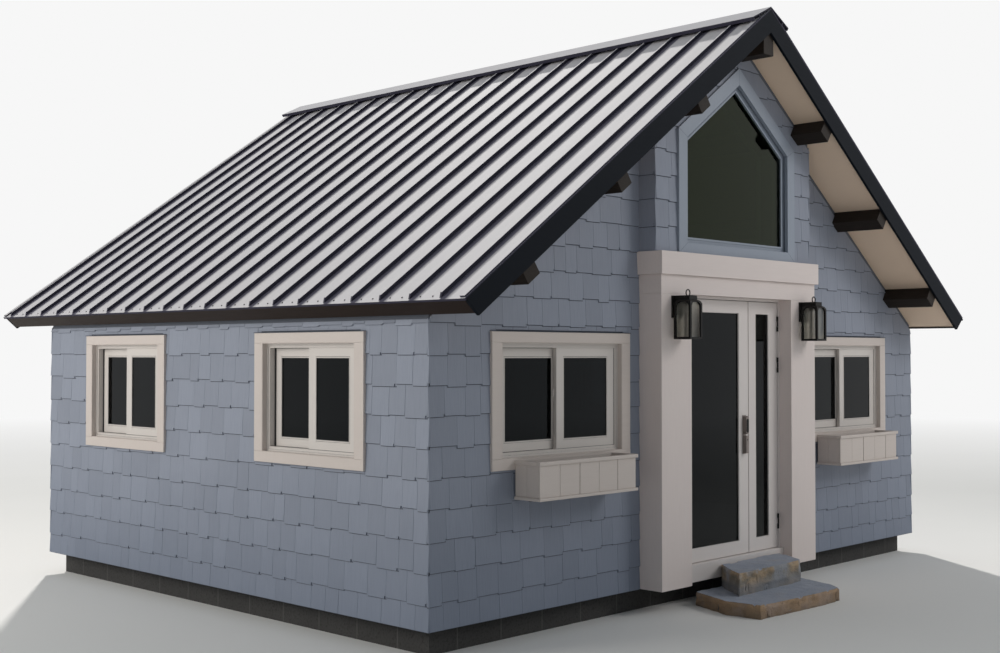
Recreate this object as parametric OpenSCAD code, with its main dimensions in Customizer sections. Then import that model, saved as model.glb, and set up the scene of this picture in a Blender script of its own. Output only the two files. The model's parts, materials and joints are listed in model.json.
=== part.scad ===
// Tiny house: one gabled room with a metal roof, a shingled front bay and an uneven pair of glass doors.
// Millimetres, +Z up. The origin is on the ground under the middle of the body; the front faces -Y.

/* [Body] */
// Width of the walls over their sheathing, across the ridge
body_w = 6420; // [5000:10:8000]
// Length of the walls over their sheathing, along the ridge
body_l = 4886; // [4000:10:6500]
// Thickness of an outside wall
wall_t = 150; // [110:5:200]
// Height above the ground at which the side walls' outer faces meet the soffit
wall_top_z = 2204.5; // [2150:0.5:2700]
// Height of the wall's lower edge above the ground
base_h = 175; // [120:5:300]
// Setback of the foundation behind the wall's face
base_setback = 90; // [40:5:110]
// Width of the foundation ring
base_w = 200; // [160:10:300]
// Thickness of the floor
floor_t = 125; // [100:5:160]
// Distance from the ridge line to the joints between the gable and the front wall's two sides
gable_joint_x = 2240; // [2100:10:2500]

/* [Roof] */
// Slope of the roof in degrees
roof_pitch = 35.2; // [32:0.2:37]
// Reach of the roof past the side walls
eave_overhang = 147; // [100:1:300]
// Overhang in front of the front wall
front_overhang = 480; // [420:10:600]
// Overhang behind the back wall
back_overhang = 640; // [420:10:800]
// Depth of the roof from the pans to the underside of the boards
roof_t = 130; // [110:5:160]
// Clearance between pieces that meet along the slope
seat = 0.3; // [0.2:0.1:0.6]
// Thickness of the metal sheet and its underlay
sheet_t = 8; // [4:1:12]
// Height of a standing seam above the pan
seam_h = 25; // [20:1:50]
// Thickness of a standing seam
seam_t = 14; // [8:1:24]
// Length over which a seam's lower end is cut down to the pan
seam_cut = 30; // [5:5:60]
// Distance from one standing seam to the next
seam_pitch = 283; // [250:1:420]
// Distance from the front edge of the roof to its first seam
seam_first = 224; // [100:1:240]
// Reach of the drip edge past the eave
drip_out = 12; // [6:1:25]
// Height of the drip edge
drip_h = 16; // [10:1:30]
// Width of the folded trim along the roof's front and back edges
rake_trim_w = 44; // [30:1:80]
// Height of that trim above the pans
rake_trim_h = 12; // [6:1:20]
// Thickness of the eave and rake boards
fascia_t = 24; // [18:1:40]
// Depth of the rake boards, square to the slope
rake_h = 147; // [130:1:180]
// Depth of the eave boards, square to the slope
eave_h = 128; // [120:1:160]
// Lean of the eave boards: how far their lower edge lies behind the upper one
eave_lean = 30; // [0:5:60]
// Reach of the ridge cap down each slope
cap_reach = 262; // [200:1:320]
// Height of the cap's crest over the ridge of the sheets
cap_rise = 15; // [12:1:40]
// Height of the cap's folded edge, from the seams' tops up
cap_lip = 30; // [20:1:50]
// Distance of the closure under the cap from the ridge
cap_leg = 190; // [120:5:240]
// Thickness of the ridge cap
cap_t = 9; // [5:1:14]
// Width of the ridge beam
ridge_beam_w = 140; // [90:5:160]
// Depth of the ridge beam below the point where the two soffits meet
ridge_beam_h = 204; // [150:1:220]
// Width of a purlin, along the slope
purlin_w = 135; // [90:5:150]
// Depth of a purlin below the soffit
purlin_h = 125; // [90:5:140]
// Distance down the slope from the ridge to the highest purlin
purlin_first = 1210; // [1000:10:1300]
// Distance up the slope from the eave to the lowest purlin
purlin_last = 598; // [500:1:700]
// Number of purlins on a slope
purlin_count = 3; // [2:1:3]

/* [Windows] */
// Height of a sliding window's opening above the ground
window_z = 1223; // [1100:5:1300]
// Height of a sliding window's opening
window_h = 776; // [650:5:840]
// Width of a front or back window's opening
front_window_w = 1264; // [1000:5:1300]
// Distance of a front or back window's middle from the ridge line
front_window_x = 1940; // [1880:5:2000]
// Width of a side window's opening
side_window_w = 1030; // [800:5:1250]
// Distance of the front side window's middle in front of the body's middle
side_window_front = 1233; // [1000:5:1500]
// Distance of the rear side window's middle behind the body's middle
side_window_rear = 1192; // [1000:5:1500]
// Width of the casing's side boards
casing_side = 95; // [70:1:110]
// Width of the casing's head and bottom boards
casing_head = 75; // [60:1:95]
// Thickness of the casing boards
casing_t = 30; // [22:1:40]
// Width of the window frame's face
frame_face = 35; // [25:1:45]
// Depth of the window frame from front to back
frame_d = 80; // [65:1:90]
// Setback of the window frame behind the sheathing
frame_back = 15; // [5:1:30]
// Width of a sash's stiles
sash_stile = 72; // [45:1:80]
// Width of a sash's rails
sash_rail = 62; // [45:1:75]
// Thickness of a sash
sash_t = 30; // [24:1:32]
// Thickness of a sealed glass unit
glass_t = 16; // [12:1:20]

/* [Door surround and bay] */
// Width of the surround over its pilasters
surround_w = 2154; // [2000:2:2400]
// Depth of the surround in front of the sheathing
surround_d = 215; // [180:1:260]
// Half the width of the doorway between the pilasters
reveal_x = 702; // [650:1:760]
// Height of the frieze
frieze_h = 142; // [100:1:200]
// Height of the cap
cap_h = 172; // [120:1:220]
// How far the cap stands out past the surround
cap_out = 25; // [10:1:40]
// Setback of the bay's sides from the surround's sides
bay_in = 7; // [0:1:40]
// Setback of the bay's face behind the surround's face
bay_back = 60; // [30:1:90]
// Half the width of the gable window's glass
gable_glass_x = 660; // [560:1:680]
// Height of the gable window's glass above the cap
gable_glass_gap = 129; // [110:1:180]
// Height from the gable glass's point up to the point of the soffit
gable_drop = 457; // [440:1:600]
// Width of the gable window's frame
gable_frame = 70; // [50:1:80]
// Depth of the gable window's frame from front to back
gable_frame_d = 90; // [70:1:120]
// Setback of the gable window's frame behind the bay's face
gable_frame_in = 12; // [5:1:30]
// Setback of the gable window's glass behind its frame
gable_glass_in = 10; // [6:1:30]
// Width of the flat casing round the gable window
gable_casing = 110; // [80:1:120]

/* [Doors] */
// Height of a door leaf
leaf_h = 2032; // [1950:1:2040]
// Height of the leaf's lower edge above the floor
leaf_lift = 14; // [12:1:20]
// Thickness of a door leaf
leaf_t = 45; // [38:1:50]
// Setback of the leaves behind the surround's front face
leaf_setback = 122; // [90:1:140]
// Distance of the meeting line from the middle of the doorway, to the right
meet_x = 247; // [0:1:300]
// Running gap round a door leaf
leaf_gap = 5; // [5:0.5:8]
// Gap between the two leaves where they meet
meet_gap = 10.5; // [10:0.5:14]
// Thickness of the door frame's jambs at the leaves
jamb_t = 20; // [16:1:30]
// Thickness of the door frame's head over the leaves
head_t = 18; // [14:1:30]
// How far the stops reach in past the jambs
stop_t = 14; // [12:1:20]
// Width of a leaf's stiles
stile_w = 122; // [100:1:125]
// Width of the narrow leaf's meeting stile
narrow_stile = 98; // [80:1:110]
// Height of a leaf's top rail
top_rail = 91; // [80:1:130]
// Height of a leaf's bottom rail
bottom_rail = 98; // [90:1:200]
// Radius of a hinge knuckle
knuckle_r = 7.5; // [7:0.5:9]
// Radius of a hinge pin
pin_r = 3; // [2.5:0.25:4]
// Clearance between a hinge pin and its knuckle, and between knuckles
pin_gap = 0.3; // [0.2:0.05:0.5]
// Height of a whole hinge
hinge_h = 126; // [90:3:150]
// Height of the lowest hinge's middle above the leaf's lower edge
hinge_low = 215; // [150:1:300]
// Distance from the leaf's top down to the middle hinge
hinge_mid = 518; // [450:1:900]
// Distance from the leaf's top down to the highest hinge
hinge_high = 176; // [130:1:250]
// Setback of a leaf's glass behind its face
glass_inset = 14; // [8:1:20]
// Height of the gap between the lock's two housings above the leaf's lower edge
lock_z = 953; // [900:1:1050]
// Width of the lock's housings
lock_w = 38; // [30:1:60]
// Height of the lock's upper housing, which has round ends
lock_h = 148; // [120:1:180]
// Height of the lock's lower housing
grip_h = 142; // [120:1:180]
// Gap between the two housings
lock_gap = 12; // [6:1:20]
// Distance that the housings stand out from the leaf's face
lock_out = 36; // [28:1:50]
// Thickness of the plate under the housings
plate_t = 5; // [3:0.5:8]
// Width of the plate's edge round the housings
plate_edge = 4; // [2:1:12]

/* [Fittings] */
// Width of a flower box over its lip
box_w = 1040; // [800:5:1100]
// Depth of a flower box over its lip
box_d = 235; // [180:5:280]
// Height of a flower box
box_h = 260; // [200:5:300]
// Distance from the window's opening down to the flower box's rim
box_drop = 13; // [5:1:60]
// Thickness of a flower box's boards
box_t = 16; // [12:1:22]
// How far the lip and the ledge stand out past the boards
box_lip = 12; // [8:1:20]
// Height of the lip
lip_h = 26; // [18:1:35]
// Height of the ledge
ledge_h = 20; // [14:1:30]
// Width of a lantern
lantern_w = 150; // [120:1:180]
// Height of a lantern's glazed body
lantern_h = 294; // [240:1:340]
// Distance from the frieze's underside down to a lantern's lower edge
lantern_drop = 339; // [310:1:420]
// Distance from the pilaster's face to the middle of a lantern
lantern_out = 103; // [98:1:140]
// Width of a lantern's corner bars
lantern_bar = 16; // [8:1:20]
// Radius of a lantern's rounded shoulders
lantern_round = 38; // [25:1:50]
// Width of the neck on top of a lantern
neck_w = 96; // [70:1:110]
// Height of the neck on top of a lantern
neck_h = 30; // [16:1:36]
// Radius of a lantern's ring, to the middle of its wire
ring_r = 24; // [18:1:30]
// Radius of the ring's wire
wire_r = 4.5; // [3:0.5:6]
// Width of a lantern's back plate
back_plate_w = 134; // [110:1:150]
// Height of a lantern's back plate
back_plate_h = 165; // [130:1:200]
// Distance from the pilasters to the widest place of the upper step
step_side_gap = 62; // [20:1:150]
// Height of the upper step's top above the ground
upper_step_z = 275; // [230:1:290]
// Height of the lower step's top above the ground
lower_step_z = 105; // [80:1:140]

/* [Hidden] */
$fn = 48;
eps = 2;
notch_over = 20;
casing_lap = 25;
half_w = body_w / 2;
half_l = body_l / 2;
inner_w = half_w - wall_t;
inner_l = half_l - wall_t;
floor_z = base_h + floor_t;

leaf_z = floor_z + leaf_lift;
head_z = leaf_z + leaf_h + leaf_gap;
frieze_z = head_z + head_t;

// Roof: a place is given by its distance down the slope and its depth below the pans
eave_x = half_w + eave_overhang;
ridge_z = wall_top_z + half_w * tan(roof_pitch) + roof_t / cos(roof_pitch);
slope_len = eave_x / cos(roof_pitch);
purlin_step = (slope_len - purlin_last - purlin_first) / (purlin_count - 1);
roof_front = -half_l - front_overhang;
roof_back = half_l + back_overhang;
deck_front = roof_front + fascia_t;
deck_back = roof_back - fascia_t;
function on_slope(along, depth) = [along * cos(roof_pitch) - depth * sin(roof_pitch),
    ridge_z - along * sin(roof_pitch) - depth * cos(roof_pitch)];
// A point on the leaning line of the eave, along being where that line starts under the sheet
function at_eave(along, depth) = on_slope(along - eave_lean * (depth - board_top) / eave_h, depth);
crest_depth = cap_rise * cos(roof_pitch);
crest_back = cap_rise * sin(roof_pitch);
cap_lean = (seam_h + seat + cap_lip - crest_depth) / (cap_reach + cap_t + crest_back);
function at_ridge(depth) = [0, ridge_z - depth / cos(roof_pitch)];
function under_roof(x) = ridge_z - roof_t / cos(roof_pitch) - abs(x) * tan(roof_pitch);
function wall_top(x) = under_roof(x) - seat;
function mirrored(points) = [for (p = points) [-p[0], p[1]]];
board_top = sheet_t + seat;
rake_low = sheet_t + rake_h;
eave_low = sheet_t + eave_h;
seam_count = floor((roof_back - roof_front - seam_first - seam_t) / seam_pitch) + 1;

// Surround, bay and gable window
front_y = -half_l;
surround_y = front_y - surround_d;
cap_z = frieze_z + frieze_h;
bay_z = cap_z + cap_h;
bay_y = surround_y + bay_back;
bay_x = surround_w / 2 - bay_in;
gable_glass_z = bay_z + gable_glass_gap;
gable_apex_z = under_roof(0) - gable_drop;
function gable_outline(grow, low) =
    let (x = gable_glass_x + grow, top = gable_apex_z + grow / cos(roof_pitch))
    [[-x, low], [x, low], [x, top - x * tan(roof_pitch)], [0, top], [-x, top - x * tan(roof_pitch)]];

// Doors
leaf_y = surround_y + leaf_setback;
leaf_edge = reveal_x - jamb_t - leaf_gap;
pin_x = leaf_edge - 4.5;
pin_y = leaf_y - 9;
wide_leaf_w = leaf_edge + meet_x - meet_gap / 2;
narrow_leaf_w = leaf_edge - meet_x - meet_gap / 2;
knuckle_h = hinge_h / 3;
stop_y = leaf_y + leaf_t + leaf_gap;
sill_y = leaf_y - 39;
sill_z = leaf_z - leaf_gap;

// Lanterns and steps
pilaster_x = (reveal_x + surround_w / 2) / 2;
lantern_z = frieze_z - lantern_drop;
box_z = window_z - box_drop - box_h;
step_back = sill_y;
step_x = reveal_x - step_side_gap;

// Draws an x-z outline and gives it depth from y0 to y1
module along_y(y0, y1, points) {
    translate([0, y1, 0])
        rotate([90, 0, 0])
            linear_extrude(y1 - y0)
                polygon(points);
}

// A box between two corners
module block(low, high) {
    translate(low)
        cube(high - low);
}

// Moves a fitting made for the front wall onto one of the four walls; out of the wall is -Y
module on_wall(side) {
    if (side == "front") translate([0, -half_l, 0]) children();
    if (side == "back") rotate([0, 0, 180]) translate([0, -half_l, 0]) children();
    if (side == "left") rotate([0, 0, -90]) translate([0, -half_w, 0]) children();
    if (side == "right") rotate([0, 0, 90]) translate([0, -half_w, 0]) children();
}

function window_places(side) =
    side == "left" ? [side_window_front, -side_window_rear] :
    side == "right" ? [-side_window_front, side_window_rear] : [-front_window_x, front_window_x];
function window_width(side) = side == "left" || side == "right" ? side_window_w : front_window_w;

module at_windows(side) {
    on_wall(side)
        for (x = window_places(side))
            translate([x, 0, window_z])
                children();
}

module window_holes(side) {
    w = window_width(side);
    at_windows(side)
        block([-w / 2, -wall_t, 0], [w / 2, wall_t + eps, window_h]);
}

// A flat ring in the plane of a wall
module wall_ring(x0, x1, z0, z1, side, rail, y0, y1) {
    difference() {
        block([x0, y0, z0], [x1, y1, z1]);
        block([x0 + side, y0 - eps, z0 + rail], [x1 - side, y1 + eps, z1 - rail]);
    }
}

sash_lap = sash_stile / 2;
sash_y = frame_back + 6;
fixed_y = sash_y + sash_t + 7;

// A horizontal slider: its right half slides in the outer track, its left half is fixed behind
module slider(w) {
    in_x = w / 2 - frame_face + eps;
    wall_ring(-w / 2, w / 2, 0, window_h, frame_face, frame_face, frame_back, frame_back + frame_d);
    wall_ring(-sash_lap, in_x, frame_face - eps, window_h - frame_face + eps, sash_stile, sash_rail,
        sash_y, sash_y + sash_t);
    wall_ring(-in_x, sash_lap, frame_face - eps, window_h - frame_face + eps, sash_stile, sash_rail,
        fixed_y, fixed_y + sash_t);
}

module slider_panes(w) {
    in_x = w / 2 - frame_face + eps;
    low = frame_face - eps + sash_rail;
    block([-sash_lap + sash_stile, sash_y + 7, low],
        [in_x - sash_stile, sash_y + 7 + glass_t, window_h - low]);
    block([-in_x + sash_stile, fixed_y + 7, low],
        [sash_lap - sash_stile, fixed_y + 7 + glass_t, window_h - low]);
}

module casing(w) {
    wall_ring(-w / 2 - casing_side, w / 2 + casing_side, -casing_head, window_h + casing_head,
        casing_side, casing_head, -casing_t, 0);
}

// Puts what is made for the right side on the left or the right
module roof_side(side) {
    mirror([side == "left" ? 1 : 0, 0, 0])
        children();
}

// Base and floor

module foundation() {
    x = half_w - base_setback;
    y = half_l - base_setback;
    color("dimgray")
        difference() {
            block([-x, -y, 0], [x, y, base_h]);
            for (side = [0, 1])
                mirror([side, 0, 0])
                    block([base_w / 2, -y + base_w, -eps], [x - base_w, y - base_w, base_h + eps]);
        }
}

module floor_slab() {
    color("tan")
        block([-inner_w, -inner_l, base_h], [inner_w, inner_l, floor_z]);
}

// Walls

// The ridge beam and the purlins, larger by gap all round and raised by over where they cut the walls
module roof_timbers(gap = 0, over = -seat) {
    low = under_roof(0) - ridge_beam_h - gap;
    x = ridge_beam_w / 2 + gap;
    along_y(deck_front, deck_back, [[-x, low], [x, low], [x, under_roof(x) + over], [0, under_roof(0) + over],
        [-x, under_roof(x) + over]]);
    for (side = [0, 1])
        mirror([side, 0, 0])
            for (i = [0 : purlin_count - 1])
                purlin(purlin_first + i * purlin_step, gap, over);
}

module purlin(middle, gap, over) {
    up = middle - purlin_w / 2 - gap;
    down = middle + purlin_w / 2 + gap;
    low = roof_t + purlin_h + gap;
    along_y(deck_front, deck_back, [on_slope(up, roof_t - over), on_slope(down, roof_t - over),
        on_slope(down, low), on_slope(up, low)]);
}

module timber_notches() {
    roof_timbers(seat, notch_over);
}

module front_wall_side(side) {
    color("lightsteelblue")
        difference() {
            roof_side(side)
                along_y(-half_l, -inner_l, [[reveal_x, base_h], [half_w, base_h], [half_w, wall_top(half_w)],
                    [gable_joint_x, wall_top(gable_joint_x)], [gable_joint_x, frieze_z],
                    [reveal_x, frieze_z]]);
            window_holes("front");
            timber_notches();
        }
}

module front_gable() {
    x = gable_joint_x;
    color("lightsteelblue")
        difference() {
            along_y(-half_l, -inner_l, [[-x, frieze_z], [x, frieze_z], [x, wall_top(x)], [0, wall_top(0)],
                [-x, wall_top(x)]]);
            along_y(-half_l - eps, -inner_l + eps, gable_outline(gable_frame, gable_glass_z - gable_frame));
            timber_notches();
        }
}

module back_wall() {
    color("lightsteelblue")
        difference() {
            along_y(inner_l, half_l, [[-half_w, base_h], [half_w, base_h], [half_w, wall_top(half_w)],
                [0, wall_top(0)], [-half_w, wall_top(half_w)]]);
            window_holes("back");
            timber_notches();
        }
}

module side_wall(side) {
    color("lightsteelblue")
        difference() {
            roof_side(side)
                along_y(-inner_l, inner_l, [[inner_w, base_h], [half_w, base_h], [half_w, wall_top(half_w)],
                    [inner_w, wall_top(inner_w)]]);
            window_holes(side);
        }
}

// Roof

module roof_deck(side) {
    deck_len = slope_len - fascia_t;
    color("wheat")
        roof_side(side)
            along_y(deck_front, deck_back, [at_ridge(board_top), at_eave(deck_len, board_top),
                at_eave(deck_len, roof_t), at_ridge(roof_t)]);
}

module seam(y, thick, high, cut = 0) {
    start = cap_leg + seat;
    end = slope_len - eps;
    along_y(y - thick / 2, y + thick / 2, [[start, -eps], [end, -eps], [end - cut, high], [start, high]]);
}

module roof_metal(side) {
    out = slope_len + drip_out;
    color("dimgray")
        roof_side(side)
            translate([0, 0, ridge_z])
                rotate([0, roof_pitch, 0]) {
                    along_y(roof_front, roof_back, [[seat, 0], [out, 0], [out, -drip_h], [slope_len, -drip_h],
                        [slope_len, -sheet_t], [seat + sheet_t * tan(roof_pitch), -sheet_t]]);
                    for (i = [0 : seam_count - 1])
                        seam(roof_front + seam_first + i * seam_pitch, seam_t, seam_h, seam_cut);
                    seam(roof_front + eps + rake_trim_w / 2, rake_trim_w, rake_trim_h);
                    seam(roof_back - eps - rake_trim_w / 2, rake_trim_w, rake_trim_h);
                }
}

// A point on the underside of the ridge cap, whose top falls less steeply than the slope
function under_cap(along) = on_slope(along, cap_t - crest_depth - cap_lean * (along + crest_back));

module ridge_cap() {
    low = -seam_h - seat;
    inside = cap_leg - cap_t;
    right = [[0, ridge_z + cap_rise],
        on_slope(cap_reach + cap_t, low - cap_lip), on_slope(cap_reach + cap_t, low),
        on_slope(cap_reach, low), under_cap(cap_reach), under_cap(cap_leg), on_slope(cap_leg, -seat),
        on_slope(inside, -seat), under_cap(inside), [0, ridge_z + cap_rise - cap_t / cos(roof_pitch)]];
    color("dimgray")
        for (side = [0, 1])
            mirror([side, 0, 0])
                along_y(roof_front, roof_back, right);
}

module eave_boards() {
    inside = slope_len - fascia_t + seat;
    outside = slope_len - seat;
    color([0.2, 0.16, 0.14])
        for (side = [0, 1])
            mirror([side, 0, 0])
                along_y(deck_front, deck_back, [at_eave(inside, board_top), at_eave(outside, board_top),
                    at_eave(outside, eave_low), at_eave(inside, eave_low)]);
}

module rake_boards() {
    foot = at_eave(slope_len - seat, board_top);
    toe = at_eave(slope_len - seat, rake_low);
    outline = [at_ridge(board_top), foot, toe, at_ridge(rake_low), [-toe[0], toe[1]], [-foot[0], foot[1]]];
    color([0.2, 0.23, 0.28]) {
        along_y(roof_front, deck_front, outline);
        along_y(deck_back, roof_back, outline);
    }
}

module purlins() {
    color([0.24, 0.18, 0.15])
        roof_timbers();
}

// Door surround and the bay above it

module surround(side) {
    color("ivory")
        roof_side(side)
            block([reveal_x, surround_y, base_h], [surround_w / 2, front_y, frieze_z]);
}

module door_frieze() {
    color("ivory")
        block([-surround_w / 2, surround_y, frieze_z], [surround_w / 2, front_y, cap_z]);
}

module door_cap() {
    color("ivory")
        block([-surround_w / 2 - cap_out, surround_y - cap_out, cap_z],
            [surround_w / 2 + cap_out, front_y, bay_z]);
}

module gable_bay() {
    x = bay_x;
    color("lightsteelblue")
        difference() {
            union() {
                along_y(bay_y, front_y, [[-x, bay_z], [x, bay_z], [x, wall_top(x)], [0, wall_top(0)],
                    [-x, wall_top(x)]]);
                along_y(bay_y - casing_t, bay_y + eps,
                    gable_outline(gable_frame - casing_lap + gable_casing, bay_z));
            }
            along_y(bay_y - eps, front_y + eps, gable_outline(gable_frame, gable_glass_z - gable_frame));
            along_y(bay_y - casing_t - eps, bay_y + eps,
                gable_outline(gable_frame - casing_lap, gable_glass_z - gable_frame + casing_lap));
            timber_notches();
        }
}

module gable_window() {
    y0 = bay_y + gable_frame_in;
    color("lightsteelblue")
        difference() {
            along_y(y0, y0 + gable_frame_d, gable_outline(gable_frame, gable_glass_z - gable_frame));
            along_y(y0 - eps, y0 + gable_frame_d + eps, gable_outline(0, gable_glass_z));
        }
}

module gable_glass() {
    y0 = bay_y + gable_frame_in + gable_glass_in;
    color("darkseagreen", 0.5)
        along_y(y0, y0 + glass_t, gable_outline(0, gable_glass_z));
}

// Sliding windows

module windows(side) {
    color("white")
        at_windows(side)
            slider(window_width(side));
}

module casings(side) {
    color("ivory")
        at_windows(side)
            casing(window_width(side));
}

module window_glass() {
    color("slategray", 0.5)
        for (side = ["front", "back", "left", "right"])
            at_windows(side)
                slider_panes(window_width(side));
}

// Doors

function hinge_heights() = [for (h = [hinge_low, leaf_h - hinge_mid, leaf_h - hinge_high]) leaf_z + h];

module door_frame() {
    color("ivory") {
        difference() {
            union() {
                block([-reveal_x, stop_y, sill_z - eps], [reveal_x, -inner_l, frieze_z]);
                block([-reveal_x, leaf_y - 7, sill_z - eps], [reveal_x, stop_y + eps, frieze_z]);
            }
            block([-reveal_x + jamb_t + stop_t, stop_y - eps, sill_z - 2 * eps],
                [reveal_x - jamb_t - stop_t, -inner_l + eps, head_z - stop_t]);
            block([-reveal_x + jamb_t, leaf_y - 9, sill_z - 2 * eps], [reveal_x - jamb_t, stop_y, head_z]);
        }
        block([-reveal_x, sill_y, base_h], [reveal_x, -inner_l, sill_z]);
        for (side = [0, 1])
            mirror([side, 0, 0])
                for (z = hinge_heights())
                    jamb_knuckles(z);
    }
}

// The upper and lower knuckle of a hinge, its pin and the leaf that holds them to the jamb
module jamb_knuckles(z) {
    for (low = [z - hinge_h / 2, z + knuckle_h / 2]) {
        translate([pin_x, pin_y, low])
            cylinder(r = knuckle_r, h = knuckle_h);
        block([pin_x, pin_y - 4, low], [reveal_x - jamb_t / 2, pin_y + 4, low + knuckle_h]);
    }
    translate([pin_x, pin_y, z - hinge_h / 2])
        cylinder(r = pin_r, h = hinge_h);
}

// A door leaf with its hinges on the right at leaf_edge and its free edge w to the left
module leaf(w, free_stile) {
    x0 = leaf_edge - w;
    difference() {
        union() {
            block([x0, leaf_y, leaf_z], [leaf_edge, leaf_y + leaf_t, leaf_z + leaf_h]);
            for (z = hinge_heights()) {
                translate([pin_x, pin_y, z - knuckle_h / 2 + pin_gap])
                    cylinder(r = knuckle_r, h = knuckle_h - 2 * pin_gap);
                block([pin_x - knuckle_r, pin_y, z - knuckle_h / 2 + pin_gap],
                    [pin_x + 2.5, leaf_y + eps, z + knuckle_h / 2 - pin_gap]);
            }
        }
        block([x0 + free_stile, leaf_y - eps, leaf_z + bottom_rail],
            [leaf_edge - stile_w, leaf_y + leaf_t + eps, leaf_z + leaf_h - top_rail]);
        for (z = hinge_heights())
            translate([pin_x, pin_y, z - knuckle_h])
                cylinder(r = pin_r + pin_gap, h = 2 * knuckle_h);
    }
}

module leaf_glass(w, free_stile) {
    x0 = leaf_edge - w;
    block([x0 + free_stile, leaf_y + glass_inset, leaf_z + bottom_rail],
        [leaf_edge - stile_w, leaf_y + glass_inset + glass_t, leaf_z + leaf_h - top_rail]);
}

module door_left() {
    color("white")
        mirror([1, 0, 0])
            leaf(wide_leaf_w, stile_w);
}

module door_left_glass() {
    color("slategray", 0.5)
        mirror([1, 0, 0])
            leaf_glass(wide_leaf_w, stile_w);
}

module door_right() {
    color("white")
        leaf(narrow_leaf_w, narrow_stile);
}

module door_right_glass() {
    color("slategray", 0.5)
        leaf_glass(narrow_leaf_w, narrow_stile);
}

// An upright block with half-round ends, standing out from the leaf's face
module round_end_block(w, h, out) {
    translate([0, 0, h / 2])
        rotate([90, 0, 0])
            linear_extrude(out) {
                square([w, h - w], center = true);
                for (side = [-1, 1])
                    translate([0, side * (h - w) / 2])
                        circle(w / 2);
            }
}

// Two housings, one over the other, on one long plate, made for the outside face
module lock_set() {
    x = lock_w / 2;
    grip_low = -lock_gap / 2 - grip_h;
    block([-x - plate_edge, -plate_t, grip_low - plate_edge],
        [x + plate_edge, 0, lock_gap / 2 + lock_h + plate_edge]);
    translate([0, 0, lock_gap / 2])
        round_end_block(lock_w, lock_h, lock_out);
    block([-x, -lock_out, grip_low], [x, 0, grip_low + grip_h]);
}

module door_left_handle() {
    x = wide_leaf_w - leaf_edge - stile_w / 2;
    color([0.3, 0.27, 0.25]) {
        translate([x, leaf_y, leaf_z + lock_z])
            lock_set();
        translate([x, leaf_y + leaf_t, leaf_z + lock_z])
            mirror([0, 1, 0])
                lock_set();
    }
}

// Flower boxes

module flower_box(side) {
    x = box_w / 2 - box_lip;
    d = box_d - box_lip;
    middle = side == "left" ? -front_window_x : front_window_x;
    color("ivory")
        translate([middle, front_y - casing_t, box_z])
            difference() {
                union() {
                    block([-x, -d, 0], [x, 0, box_h]);
                    block([-x - box_lip, -d - box_lip, 0], [x + box_lip, 0, ledge_h]);
                    block([-x - box_lip, -d - box_lip, box_h - lip_h], [x + box_lip, 0, box_h]);
                }
                block([-x + box_t, -d + box_t, ledge_h + box_t], [x - box_t, -box_t, box_h + eps]);
            }
}

// Lanterns

// A square bar whose cross-section has rounded upper corners, seen along Y
module rounded_bar(w, h, deep) {
    r = lantern_round;
    translate([0, deep / 2, 0])
        rotate([90, 0, 0])
            linear_extrude(deep) {
                translate([-w / 2, 0])
                    square([w, h - r]);
                translate([-w / 2 + r, 0])
                    square([w - 2 * r, h]);
                for (side = [-1, 1])
                    translate([side * (w / 2 - r), h - r])
                        circle(r);
            }
}

module lantern_body(w, h) {
    intersection() {
        rounded_bar(w, h, w + eps);
        rotate([0, 0, 90])
            rounded_bar(w, h, w + eps);
    }
}

module at_lantern(side) {
    roof_side(side)
        translate([pilaster_x, surround_y - lantern_out, lantern_z])
            children();
}

module lantern(side) {
    open_w = lantern_w - 2 * lantern_bar;
    open_h = lantern_h - 2 * lantern_bar;
    color([0.08, 0.08, 0.08])
        at_lantern(side) {
            difference() {
                lantern_body(lantern_w, lantern_h);
                translate([0, 0, lantern_bar])
                    lantern_body(open_w, open_h);
                for (turn = [0, 90])
                    rotate([0, 0, turn])
                        translate([0, 0, lantern_bar])
                            rounded_bar(open_w - 2 * eps, open_h - eps, lantern_w + 2 * lantern_bar);
            }
            block([-neck_w / 2, -neck_w / 2, lantern_h - lantern_bar],
                [neck_w / 2, neck_w / 2, lantern_h + neck_h]);
            block([-neck_w / 2, 0, lantern_h - lantern_bar],
                [neck_w / 2, lantern_out - 8, lantern_h + neck_h]);
            block([-back_plate_w / 2, lantern_out - 12, lantern_h + neck_h - back_plate_h],
                [back_plate_w / 2, lantern_out, lantern_h + neck_h]);
            translate([0, 0, lantern_h + neck_h + ring_r - wire_r])
                rotate([0, 90, 90])
                    rotate_extrude()
                        translate([ring_r, 0])
                            circle(wire_r, $fn = 16);
        }
}

module lantern_panes(side) {
    pane_w = lantern_w - 2 * lantern_bar;
    pane_h = lantern_h - 2 * lantern_bar - lantern_round;
    color("lightgray", 0.4)
        at_lantern(side)
            difference() {
                block([-pane_w / 2, -pane_w / 2, lantern_bar],
                    [pane_w / 2, pane_w / 2, lantern_bar + pane_h]);
                block([-pane_w / 2 + 3, -pane_w / 2 + 3, lantern_bar - eps],
                    [pane_w / 2 - 3, pane_w / 2 - 3, lantern_bar + pane_h + eps]);
            }
}

// Two rough stone slabs; their ends were split and are not square
module step_slab(points, low, high) {
    color([0.7, 0.6, 0.48])
        translate([0, 0, low])
            linear_extrude(high - low)
                polygon(points);
}

module upper_step() {
    x = step_x;
    step_slab([[x - 1150, surround_y - 285], [x - 760, surround_y - 272], [x - 390, surround_y - 270],
        [x - 215, surround_y - 258], [x - 120, surround_y - 120], [x, step_back], [x - 855, step_back],
        [x - 1020, surround_y - 110]], lower_step_z, upper_step_z);
}

module lower_step() {
    x = step_x;
    step_slab([[x - 1330, surround_y - 595], [x - 840, surround_y - 628], [x - 390, surround_y - 640],
        [x - 240, surround_y - 625], [x - 170, surround_y - 480], [x + 20, step_back], [x - 1200, step_back],
        [x - 1360, surround_y - 300]], 0, lower_step_z);
}

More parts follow.
